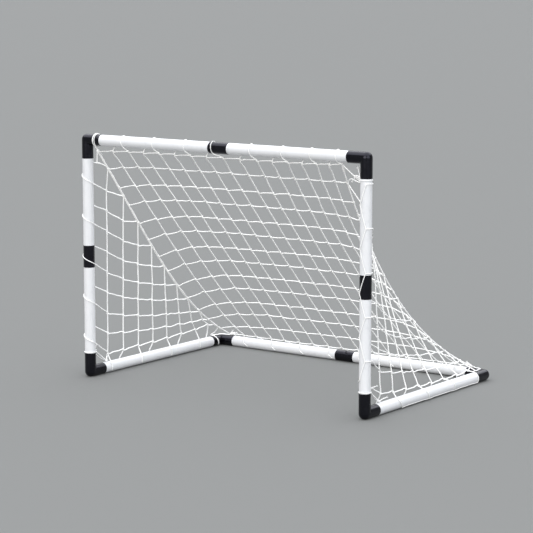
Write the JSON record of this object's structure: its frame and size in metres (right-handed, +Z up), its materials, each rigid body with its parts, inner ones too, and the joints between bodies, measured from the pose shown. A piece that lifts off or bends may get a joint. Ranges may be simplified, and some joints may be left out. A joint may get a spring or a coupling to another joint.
{
  "type": "football goal",
  "caption": "Small free-standing football goal: a white push-fit tube frame with black couplers and elbows, and a white knotted net threaded on its bars.",
  "frame": {"origin": "on the ground, under the middle of the goal's outer box", "axes": "+X to the right along the crossbar, +Y from the mouth to the rear bar, +Z up"},
  "size_m": [0.789, 0.529, 0.5645],
  "materials": {
    "white_tube": "semi-gloss extruded",
    "black_connector": "satin moulded",
    "net_twine": "twisted twine",
    "tie_twine": "twisted twine"
  },
  "bodies": {
    "root": {"crossbar_tube_left": "white_tube", "crossbar_tube_right": "white_tube", "crossbar_coupler": "black_connector", "post_upper_left": "white_tube", "post_upper_right": "white_tube", "post_lower_left": "white_tube", "post_lower_right": "white_tube", "post_coupler_left": "black_connector", "post_coupler_right": "black_connector", "top_elbow_left": "black_connector", "top_elbow_right": "black_connector", "foot_elbow_left": "black_connector", "foot_elbow_right": "black_connector", "side_tube_left": "white_tube", "side_tube_right": "white_tube", "rear_elbow_left": "black_connector", "rear_elbow_right": "black_connector", "rear_tube_left": "white_tube", "rear_tube_right": "white_tube", "rear_coupler": "black_connector", "net_back": "net_twine", "net_left": "net_twine", "net_right": "net_twine", "top_tie_left": "tie_twine", "top_tie_right": "tie_twine", "rear_tie_left": "tie_twine", "rear_tie_right": "tie_twine", "foot_tie_left": "tie_twine", "foot_tie_right": "tie_twine"}
  },
  "joints": []
}
